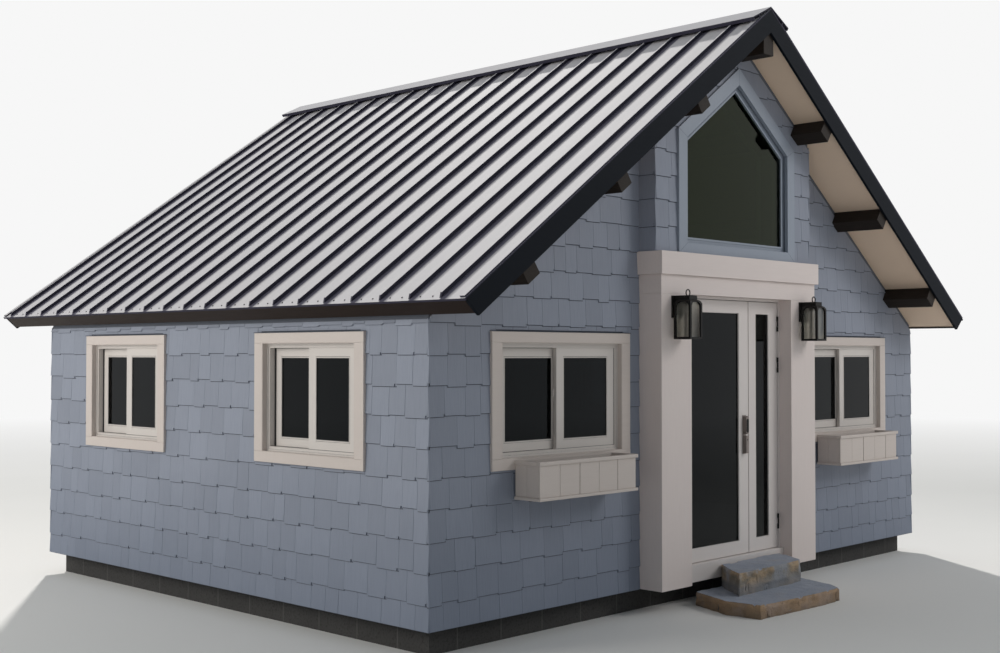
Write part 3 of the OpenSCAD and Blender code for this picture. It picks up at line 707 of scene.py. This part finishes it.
def lay(master, whole, part, tone):
    """Puts a copy of the master on the rectangle whole, and cuts it down to the rectangle part."""
    x0, x1, z0, z1 = whole
    piece = twin(master)
    piece.location = (x0, 0, z0)
    piece.scale = ((x1 - x0) / shingle_w, 1, (z1 - z0) / shingle_h)
    shades = piece.data.attributes.new("tone", "FLOAT", "FACE")
    shades.data.foreach_set("value", [tone] * len(piece.data.polygons))
    if part != whole:
        settle(piece)
        for side, (cut, edge) in enumerate(zip(part, whole)):
            if abs(cut - edge) > 0.0001:
                normal = [0, 0, 0]
                normal[0 if side < 2 else 2] = -1 if side in (0, 2) else 1
                slice_off(piece, (cut, 0, 0) if side < 2 else (0, 0, cut), normal)
    return piece


def parts_around(whole, holes):
    """What is left of a rectangle beside, under and over the first hole that it meets."""
    x0, x1, z0, z1 = whole
    for hole_x0, hole_x1, hole_z0, hole_z1 in holes:
        if x0 < hole_x1 and x1 > hole_x0 and z0 < hole_z1 and z1 > hole_z0:
            near_x0, near_x1 = max(x0, hole_x0), min(x1, hole_x1)
            left = [(x0, hole_x0, z0, z1), (hole_x1, x1, z0, z1), (near_x0, near_x1, z0, hole_z0),
                    (near_x0, near_x1, hole_z1, z1)]
            return [part for part in left if part[1] - part[0] > 0.003 and part[3] - part[2] > 0.003]
    return [whole]


def cover(name, x_span, z_span, holes=(), reach=(0, 0), limit=None):
    """Rows of shingles. reach is how far they pass the ends, row by row; limit(z) is the half width."""
    laid = []
    starts = [z_span[0]] + [z for z in row_starts if z_span[0] + 0.09 < z < z_span[1] - 0.02]
    for row, start in enumerate(starts):
        top = (starts + [z_span[1]])[row + 1] + 0.055
        low_x, high_x = x_span[0] - reach[row % 2], x_span[1] + reach[row % 2]
        if limit and z_span[0] < start:
            low_x, high_x = max(low_x, -limit(start)), min(high_x, limit(start))
        x, long = low_x, row % 2 == 0
        while high_x - x > 0.004:
            width, rest = random.choice(shingle_widths), high_x - x
            if rest - width < 0.09:
                width = rest if rest < shingle_widths[-1] else rest / 2
            long = not long
            drop = random.choice((0.010, 0.014, 0.018) if long else (0, 0, 0.004, 0.007)) if row else 0.012
            master = notched_shingle if row and long and random.random() < 0.8 else plain_shingle
            gap = random.choice((0.0002, 0.0002, 0.0004, 0.0009))
            whole = (x + gap, x + width - gap, start + 0.012 - drop, min(top, z_span[1]))
            tone = random.random()
            laid += [lay(master, whole, part, tone) for part in parts_around(whole, holes)]
            x += width
    return join(laid, name)


def under_soffit(piece):
    """Cuts the shingles off along the two soffits, in the plane of a gable wall."""
    for side in (-1, 1):
        slice_off(piece, (0, 0, soffit_apex), (side * math.sin(pitch), 0, math.cos(pitch)))
    return piece


def set_on_wall(piece, side, out=None):
    """Turns a piece laid for the front to one of the walls; out is the wall's distance from the middle."""
    turn = {"front": 0, "back": 180, "left": -90, "right": 90}[side]
    distance = out or (half_l if side in ("front", "back") else half_w)
    piece.matrix_world = Matrix.Rotation(math.radians(turn), 4, "Z") @ Matrix.Translation((0, -distance, 0))
    return settle(piece)


base_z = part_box("back_wall")[0].z
soffit_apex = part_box("front_gable")[1].z
eave_wall_z = soffit_apex - half_w * math.tan(pitch)
window_low, window_high = 1.223, 1.999
windows = {
    "front": ((-1.94, 1.94), 1.264),
    "back": ((-1.94, 1.94), 1.264),
    "left": ((1.233, -1.192), 1.03),
    "right": ((-1.233, 1.192), 1.03),
}


def window_holes(side):
    places, width = windows[side]
    reach = width / 2 + 0.04
    return [(x - reach, x + reach, window_low - 0.04, window_high + 0.085) for x in places]


def gable_half(z):
    """Half of a gable wall's width at a height."""
    return half_w + 0.02 if z < eave_wall_z - 0.02 else (soffit_apex - z) / math.tan(pitch) + 0.01


# %% Shingles on the four walls
woven, back_top, front_top = 0.0125, 4.45, 3.70
for side in ("left", "right"):
    tall = (base_z, eave_wall_z - 0.012)
    field = cover(side + "_shingles", (-half_l, half_l), tall, window_holes(side), (woven, 0))
    hand_over(set_on_wall(field, side), None)
span = (-half_w, half_w)
field = cover("back_shingles", span, (base_z, back_top), window_holes("back"), (0, woven), gable_half)
hand_over(set_on_wall(under_soffit(field), "back"), None)
surround_half = 1.079
for side, name in ((-1, "front_left_shingles"), (1, "front_right_shingles")):
    span = sorted((side * surround_half, side * half_w))
    field = cover(name, span, (base_z, front_top), window_holes("front"), (0, woven), gable_half)
    slice_off(field, (side * surround_half, 0, 0), (-side, 0, 0))
    hand_over(set_on_wall(under_soffit(field), "front"), None)

# %% [markdown]
# The bay over the door has shingles on its narrow front strips, on the bands above the gable window's
# casing and on its two sides, which are only as deep as one shingle is wide.

# %% Shingles on the bay
bay_low, bay_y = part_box("gable_bay")[0].z, -2.598
bay_half, strip_x, strip_top, band_low, band_top = 1.070, 0.765, 3.95, 3.50, 4.46
glass_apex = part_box("gable_glass")[1].z
casing_line = glass_apex + 0.10 / math.cos(pitch)
for side in (-1, 1):
    span = sorted((side * strip_x, side * bay_half))
    strip = cover("strip", span, (bay_low, strip_top), reach=(0, woven))
    slice_off(strip, (side * strip_x, 0, 0), (-side, 0, 0))
    band = cover("band", sorted((0, side * strip_x)), (band_low, band_top))
    slice_off(band, (0, 0, casing_line), (-side * math.sin(pitch), 0, -math.cos(pitch)))
    hand = "right" if side > 0 else "left"
    front = under_soffit(join([strip, band], "bay_front_shingles_" + hand))
    hand_over(set_on_wall(front, "front", -bay_y), None)
    flank = cover("flank", sorted((side * bay_y, side * -half_l)), (bay_low, front_top), reach=(woven, 0))
    flank.name = "bay_side_shingles_" + hand
    hand_over(set_on_wall(flank, hand, bay_half), None)

for master in (plain_shingle, notched_shingle):
    bpy.data.objects.remove(master)

# %% [markdown]
# Each window casing is four boards with tight joints and slightly rounded edges, and a thin liner that
# covers the cut edge of the wall. A liner is a flat ring: a block is inset on its front and back, and the
# two inner faces are bridged into a hole. A thin flashing lies over the upper board and keeps the rain
# out of the joint; its dark finish is painted shade, for the shaded line above the head.


# %% Window casings and head flashings
def eased_block(name, low, high, width=0.0025):
    return ease(block(name, low, high), width)


def ring(name, low, high, width):
    """A rectangular frame in the plane of a wall, its bars as wide as given."""
    piece = block(name, low, high)
    pick_faces(piece, lambda middle, normal: abs(normal.y) > 0.9)
    bpy.ops.mesh.inset(thickness=width, use_individual=True)
    bpy.ops.mesh.bridge_edge_loops()
    close_edit()
    return piece


def casing_for(width):
    """Four boards round an opening of this width, whose lower edge is at z = 0."""
    thick, tall = 0.030, window_high - window_low
    inner, outer = width / 2, width / 2 + casing_side
    boards = [
        eased_block("head", (-outer, -thick, tall), (outer, 0, tall + casing_head)),
        eased_block("foot", (-outer, -thick, -casing_head), (outer, 0, 0)),
        eased_block("side", (-outer, -thick, 0.0004), (-inner, 0, tall - 0.0004)),
        eased_block("side", (inner, -thick, 0.0004), (outer, 0, tall - 0.0004)),
    ]
    liner = ring("liner", (-inner, -0.0285, 0), (inner, 0.0152, tall), 0.004)
    return join([*boards, ease(liner, 0.001, 1)], "casing")


def flashing_for(width):
    """A folded sheet over the head board, 4 mm longer at each end."""
    outer, top, front = width / 2 + casing_side + 0.004, window_high - window_low + casing_head, -0.0345
    sheet = block("flashing", (-outer, front, top), (outer, 0, top + 0.002))
    lip = block("lip", (-outer, front, top - 0.003), (outer, front + 0.002, top + 0.002))
    return ease(join([sheet, lip], "flashing"), 0.0006, 1)


casing_side, casing_head = 0.095, 0.075
for side, (places, width) in windows.items():
    casings, flashings = [], []
    for x in places:
        for made, group in ((casing_for(width), casings), (flashing_for(width), flashings)):
            made.location = (x, 0, window_low)
            group.append(made)
    casing = set_on_wall(join(casings, side + "_casing_boards"), side)
    hand_over(casing, casing_paint, "house", [side + "_casings"])
    # The flashings are real sheets; their dark finish is painted shade.
    hand_over(set_on_wall(join(flashings, side + "_head_flashings"), side), painted_shade_under_edges)

# %% [markdown]
# Glass is held by a bead with a sloping face and a black rubber gasket. Both are flat rings again, and the
# bead's inner edge is bevelled back towards the glass.


# %% Glazing beads and gaskets
def bead(name, x0, x1, z0, z1, face_y, glass_y):
    """A bead that slopes from the sash's face down to the glass."""
    low_y, high_y = sorted((face_y, glass_y))
    piece = ring(name, (x0, low_y, z0), (x1, high_y, z1), 0.009)

    def inner_corner(at):
        within = x0 + 0.008 < at.x < x1 - 0.008 and z0 + 0.008 < at.z < z1 - 0.008
        return within and abs(at.y - face_y) < 0.0001

    pick_edges(piece, lambda a, b: inner_corner(a) and inner_corner(b))
    bpy.ops.mesh.bevel(offset=0.005, segments=2, affect="EDGES")
    close_edit()
    return piece


def gasket(name, x0, x1, z0, z1, glass_y, out):
    """A rubber ring on the glass, just inside the bead."""
    low_y, high_y = sorted((glass_y, glass_y + out * 0.003))
    return ring(name, (x0 + 0.008, low_y, z0 + 0.008), (x1 - 0.008, high_y, z1 - 0.008), 0.0045)


bar, stile, rail, sliding_y, fixed_y = 0.035, 0.036, 0.097, 0.021, 0.058
for side, (places, width) in windows.items():
    beads, gaskets_and_shade_lines, latches = [], [], []
    edge = width / 2 - bar - 0.072
    for x in places:
        x0, x1, z0, z1 = x - width / 2, x + width / 2, window_low, window_high
        for low_x, high_x, face_y in ((x + stile, x + edge, sliding_y), (x - edge, x - stile, fixed_y)):
            pane = (low_x, high_x, z0 + rail, z1 - rail)
            beads.append(bead("bead", *pane, face_y - 0.0008, face_y + 0.007))
            gaskets_and_shade_lines.append(gasket("gasket", *pane, face_y + 0.007, -1))
        rim = ring("rim", (x0 + 0.003, 0.0095, z0 + 0.003), (x1 - 0.003, 0.0155, z1 - 0.003), 0.014)
        beads.append(ease(rim, 0.001, 1))
        # Painted shade: thin black strips in the channels beside the sashes, along the tracks and frame foot,
        # and at the weeps.
        for line_x0, line_x1, line_z0, line_z1, line_y in (
            (x0 + 0.0345, x0 + 0.0555, z0 + bar, z1 - bar, fixed_y),
            (x0 + bar, x - stile, z1 - 0.0385, z1 - 0.0345, fixed_y),
            (x0 + bar, x - stile, z0 + 0.0345, z0 + 0.0385, fixed_y),
            (x - stile, x1 - bar, z0 + 0.0345, z0 + 0.0375, sliding_y),
            (x1 - 0.0375, x1 - 0.0345, z0 + bar, z1 - bar, sliding_y),
        ):
            low, high = (line_x0, line_y - 0.0013, line_z0), (line_x1, line_y + 0.0005, line_z1)
            gaskets_and_shade_lines.append(block("line", low, high))
        low, high = (x0 + 0.017, 0.0142, z0 + 0.0035), (x1 - 0.017, 0.0155, z0 + 0.0175)
        gaskets_and_shade_lines.append(block("line", low, high))
        low = (x - 0.045, 0.046, z0 + 0.40)
        latches.append(eased_block("keeper", low, (x - 0.033, 0.058, z0 + 0.455)))
        for slot_x in (x0 + 0.10, x1 - 0.13):
            corner = (slot_x + 0.03, 0.0155, z0 + 0.018)
            gaskets_and_shade_lines.append(block("weep_shade", (slot_x, 0.0138, z0 + 0.012), corner))
    hand_over(set_on_wall(join(beads + latches, side + "_window_beads"), side), vinyl)
    hand_over(set_on_wall(join(gaskets_and_shade_lines, side + "_window_gaskets_and_shade_lines"), side), rubber_and_painted_shade)

for leaf in ("door_left", "door_right"):
    low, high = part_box(leaf + "_glass")
    beads, gaskets_and_shade_lines = [], []
    for face_y, glass_y, out in ((low.y - 0.0145, low.y, -1), (high.y + 0.0145, high.y, 1)):
        beads.append(bead("bead", low.x, high.x, low.z, high.z, face_y, glass_y))
        gaskets_and_shade_lines.append(gasket("gasket", low.x, high.x, low.z, high.z, glass_y, out))
    hand_over(join(beads, leaf + "_beads"), door_paint, leaf)
    hand_over(join(gaskets_and_shade_lines, leaf + "_gaskets"), rubber_and_painted_shade, leaf)

# %% [markdown]
# The hinges are black. Sleeves cover the barrels: the outer two of each hinge stay with the jamb, the
# middle one turns with its leaf. The lockset gets the dark oval of its keypad and a slot for the key, on
# both sides of the leaf.

# %% Hinge sleeves and lock details
leaf_z, leaf_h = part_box("door_left")[0].z, 2.032
for side, leaf in ((-1, "door_left"), (1, "door_right")):
    fixed, moving, pin = [], [], (side * 0.6725, -2.545)
    for height in (0.215, leaf_h - 0.518, leaf_h - 0.176):
        for drop, long, group in ((-0.063, 0.042, fixed), (-0.0207, 0.0414, moving), (0.021, 0.042, fixed)):
            low = leaf_z + height + drop
            sleeve = rod("sleeve", (*pin, low), (*pin, low + long), 0.0081, 20)
            group.append(ease(sleeve, 0.0012))
    hand_over(join(fixed, leaf + "_jamb_sleeves"), black_metal)
    hand_over(join(moving, leaf + "_leaf_sleeves"), black_metal, leaf)

lock_low, lock_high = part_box("door_left_handle")
lock_x, lock_z = (lock_low.x + lock_high.x) / 2, leaf_z + 0.953
oval_half, proud, sunk, ovals = 0.0165, 0.0015, 0.002, []
for y0, y1 in ((lock_low.y - proud, lock_low.y + sunk), (lock_high.y - sunk, lock_high.y + proud)):
    corner = (lock_x + oval_half, y1, lock_z + 0.130)
    oval = block("keypad", (lock_x - oval_half, y0, lock_z + 0.018), corner)
    pick_edges(oval, lambda a, b: abs(a.y - b.y) > 0.001)
    bpy.ops.mesh.bevel(offset=0.0164, segments=6, affect="EDGES")
    close_edit()
    ovals.append(ease(oval, 0.0008))
    corner = (lock_x + 0.004, y1, lock_z - 0.031)
    ovals.append(eased_block("key_slot", (lock_x - 0.004, y0, lock_z - 0.045), corner, 0.001))
hand_over(join(ovals, "lock_keypads"), black_metal, "door_left")

# %% [markdown]
# The lanterns' glass ends where their bars begin to curve. A small pane with round upper corners fills each
# of the four arches above it.


# %% Arch panes of the lanterns
def arch_pane(half, low_z, high_z):
    """A thin pane on the front of a lantern at the origin, with its two upper corners rounded."""
    pane = block("arch_pane", (-half, -half, low_z), (half, -half + 0.003, high_z))
    pick_edges(pane, lambda a, b: min(a.z, b.z) > high_z - 0.0001 and abs(a.x - b.x) < 0.0001)
    bpy.ops.mesh.bevel(offset=0.0365, segments=7, affect="EDGES")
    close_edit()
    return pane


glass_low, glass_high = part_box("lantern_glass")
pane_half, arch_h, arch_panes = 0.059, 0.0375, []
lantern_x, lantern_y = glass_high.x - pane_half, (glass_low.y + glass_high.y) / 2
for x in (-lantern_x, lantern_x):
    for quarter in range(4):
        pane = arch_pane(pane_half, glass_high.z, glass_high.z + arch_h)
        turn = Matrix.Rotation(math.radians(90 * quarter), 4, "Z")
        pane.matrix_world = Matrix.Translation((x, lantern_y, 0)) @ turn
        arch_panes.append(pane)
hand_over(join(arch_panes, "lantern_arch_panes"), lantern_pane)

# %% [markdown]
# The gable window's casing follows the roof: one board under the glass, two upright and two along the
# slopes, with mitred ends where the angle changes.


# %% Casing boards of the gable window
def outline(grow, low):
    """Corners of the gable window's shape, made larger all round, from lower left round to the right."""
    x, top = gable_glass_half + grow, glass_apex + grow / math.cos(pitch)
    shoulder = top - x * math.tan(pitch)
    return [(-x, low), (x, low), (x, shoulder), (0, top), (-x, shoulder)]


def mitred_board(name, outer, inner, y0, y1):
    """A board between an edge of one outline, given by its two ends, and the same edge of a smaller one."""
    piece = block(name, (0, y0, 0), (1, y1, 1))
    corners = {(0, 0): outer[0], (1, 0): outer[1], (0, 1): inner[0], (1, 1): inner[1]}
    for vertex in piece.data.vertices:
        x, z = corners[round(vertex.co.x), round(vertex.co.z)]
        vertex.co.x, vertex.co.z = x, z
    open_edit(piece)
    bpy.ops.mesh.select_all(action="SELECT")
    bpy.ops.mesh.normals_make_consistent(inside=False)
    close_edit()
    return ease(piece, 0.002)


def mitred_frame(name, outer, inner, y0, y1):
    boards = []
    for first in range(5):
        second = (first + 1) % 5
        edges = (outer[first], outer[second]), (inner[first], inner[second])
        boards.append(mitred_board("board", *edges, y0, y1))
    hand_over(join(boards, name), frame_blue)


gable_glass_half, glass_low = 0.660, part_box("gable_glass")[0].z
frame_bar, bead_w, casing_out = 0.0447, 0.0165, 0.1553
outer, inner = outline(casing_out, bay_low + 0.0005), outline(frame_bar, glass_low - frame_bar)
mitred_frame("gable_casing_boards", outer, inner, bay_y - 0.0304, bay_y)
outer, inner = outline(bead_w, glass_low - bead_w), outline(0.0, glass_low)
mitred_frame("gable_window_beads", outer, inner, -2.592, -2.576)

# %% [markdown]
# The flower boxes are built from boards: five upright ones in front and two on each side, with a V-shaped
# groove where their eased edges meet, a shelf under them and a lip around the top. A dark strip inside
# each groove is painted shade.


# %% Flower boxes
def flower_box(name, middle):
    x, back, front, low, high = 0.508, -2.473, -2.696, 0.950, 1.210
    foot, top, pitch_x = low + 0.02, high - 0.001, 2 * x / 5
    parts = []
    for at, shift in enumerate((0.0, 0.0012, -0.0008, 0.0006, -0.0004)):
        x0 = -x + at * pitch_x
        parts.append(((x0, front + shift, foot), (x0 + pitch_x - 0.003, front + 0.016, top)))
    for side in (-1, 1):
        x0, x1 = sorted((side * x, side * (x - 0.016)))
        for y0, y1 in ((front + 0.016, front + 0.1195), (front + 0.1195, back)):
            parts.append(((x0, y0, foot), (x1, y1, top)))
        x0, x1 = sorted((side * (x + 0.012), side * (x - 0.018)))
        parts.append(((x0, front + 0.018, high - 0.026), (x1, back, high)))
    parts += [
        ((-x + 0.016, back - 0.016, foot), (x - 0.016, back, top)),
        ((-x + 0.01, front + 0.01, low + 0.018), (x - 0.01, back - 0.01, low + 0.036)),
        ((-x - 0.012, front - 0.012, low), (x + 0.012, back, low + 0.0205)),
        ((-x - 0.012, front - 0.012, high - 0.026), (x + 0.012, front + 0.018, high)),
    ]
    boards = [eased_block("board", *corners, 0.0035) for corners in parts]
    made = join(boards, name + "_boards")
    # Painted shade: a dark strip inside each V-groove.
    groove_shades = []
    for at in range(1, 5):
        x0 = at * pitch_x - x - 0.004
        x1 = x0 + 0.006
        groove_shades.append(block("groove_shade", (x0, front + 0.0055, low + 0.022), (x1, front + 0.012, high - 0.003)))
    groove_shades = join(groove_shades, name + "_groove_shades")
    made.location.x = groove_shades.location.x = middle
    hand_over(settle(groove_shades), painted_shade_in_gaps)
    hand_over(settle(made), casing_paint, "house", [name])


for name, x in zip(("flower_box_left", "flower_box_right"), windows["front"][0]):
    flower_box(name, x)

# %% [markdown]
# The two steps are split sandstone. Each starts as the frame's slab. It is remeshed into small even faces,
# which soft noise and sharper chips push in and out. The worn tops are then pressed nearly level, every
# second bed of the split faces is set back a little, and the undersides are cut flat. An attribute marks
# the tops, which are greyer than the split faces, as worn stone, and bluer, as painted skylit shade.


# %% Stone steps
def stone_step(name, low_z):
    piece = eased_node(name, 0.010)
    top_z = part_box(name)[1].z
    modify(piece, "REMESH", mode="VOXEL", voxel_size=0.013, adaptivity=0.0)
    for kind, size, push, middle in (
        ("CLOUDS", 0.42, 0.030, 0.6), ("CLOUDS", 0.11, 0.016, 0.6), ("CLOUDS", 0.028, 0.005, 0.6),
        ("VORONOI", 0.10, 0.022, 0.75),
    ):
        texture = bpy.data.textures.new(name, kind)
        texture.noise_scale = size
        modify(
            piece, "DISPLACE", texture=texture, texture_coords="GLOBAL", strength=push, mid_level=middle
        )
    mesh = open_edit(piece, "VERT")
    for vertex in mesh.verts:
        depth = top_z - vertex.co.z
        bed = math.floor(depth / bed_h) % 2 * bed_depth
        if vertex.normal.z > 0.7:
            vertex.co.z = top_z - depth * 0.25
        elif vertex.normal.z < -0.5:
            vertex.co.z = low_z - 0.004
        elif depth > 0.02:
            vertex.co.xy -= vertex.normal.xy * bed
    bmesh.update_edit_mesh(piece.data)
    close_edit()
    slice_off(piece, (0, 0, low_z), (0, 0, -1))
    tops = piece.data.attributes.new("top", "FLOAT", "FACE")
    tops.data.foreach_set("value", [1.0 if face.normal.z > 0.75 else 0.0 for face in piece.data.polygons])
    hand_over(piece, sandstone, "house", [name])


bed_h, bed_depth = 0.045, 0.003
stone_step("upper_step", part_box("upper_step")[0].z - 0.004)
stone_step("lower_step", 0.0)

# %% [markdown]
# The stage is a wide pale floor that fades into a pale background. A low sun from behind on the right
# glances off the pans and lets every seam and the ridge cap throw a shadow on them. A large warm panel
# lights the left side, a weak narrow one reaches the front from the right, and the room's own light is a
# little blue, as in the shade on a clear day.

# %% Floor
bpy.ops.object.select_all(action="DESELECT")
bpy.ops.mesh.primitive_circle_add(vertices=96, radius=60, fill_type="NGON")
ground = bpy.context.object
ground.name = "studio_floor"
pale_floor, place, fill = new_finish("pale floor", Roughness=0.9)
fill(Base_Color=blend(grain(place, 0.5), (0.74, 0.73, 0.71), (0.77, 0.76, 0.74)))
background, background_starts, background_full = (0.93, 0.93, 0.93), 9.0, 30.0
tree = pale_floor.node_tree
shader = Wire(tree.nodes["Principled BSDF"].outputs[0])
distance = place.node("ShaderNodeVectorMath", {"operation": "LENGTH"}, {0: place}, out=1)
glow = place.node("ShaderNodeEmission", None, {"Color": (*background, 1), "Strength": 1.0})
fade = steps(distance, background_starts, background_full)
mixed = place.node("ShaderNodeMixShader", None, {0: fade, 1: shader, 2: glow})
tree.links.new(mixed.socket, tree.nodes["Material Output"].inputs["Surface"])
ground.data.materials.append(pale_floor)
ground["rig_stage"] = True

# %% Background
room_shade, room_strength = (0.81, 0.92, 1.0), 0.28
world = bpy.data.worlds.new("pale studio")
bpy.context.scene.world = world
world.use_nodes = True
tree = world.node_tree
rays = tree.nodes.new("ShaderNodeLightPath")
seen = Wire(rays.outputs["Is Camera Ray"])
for name in ("Is Glossy Ray", "Is Transmission Ray"):
    seen = seen.math("MAXIMUM", seen, Wire(rays.outputs[name]))
backdrop = tree.nodes["Background"].inputs
tree.links.new((seen * (1 - room_strength) + room_strength).socket, backdrop["Strength"])
tree.links.new(blend(seen, room_shade, background).socket, backdrop["Color"])

# %% Sun and panels
towards_sun = Vector((0.46, 0.66, 0.59))
bpy.ops.object.light_add(type="SUN", rotation=towards_sun.to_track_quat("Z", "Y").to_euler())
sun = bpy.context.object
sun.name = "sun behind the house"
sun.data.energy, sun.data.angle, sun.data.color = 2.6, math.radians(2.0), (1.0, 0.97, 0.93)


def panel(name, place, target, size, power, shade, spread=180):
    """A square soft light that faces a target."""
    aim = (Vector(target) - Vector(place)).to_track_quat("-Z", "Y").to_euler()
    bpy.ops.object.light_add(type="AREA", location=place, rotation=aim)
    light = bpy.context.object
    light.name = name
    light.data.size, light.data.energy, light.data.color = size, power, shade
    light.data.spread = math.radians(spread)


panel("panel on the left", (-13.0, 4.5, 6.5), (-2.0, 0, 1.5), 7.0, 800, (1.0, 0.97, 0.92))
panel("panel in front", (6.0, -10.5, 7.5), (2.0, -2.4, 1.8), 5.0, 88, (1.0, 0.98, 0.96), 80)
bpy.context.scene.view_settings.view_transform = "Standard"
print("stage ready")

# %% Measure and print the sizes
low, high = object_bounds()
print("visual model", [round(s, 3) for s in high - low])
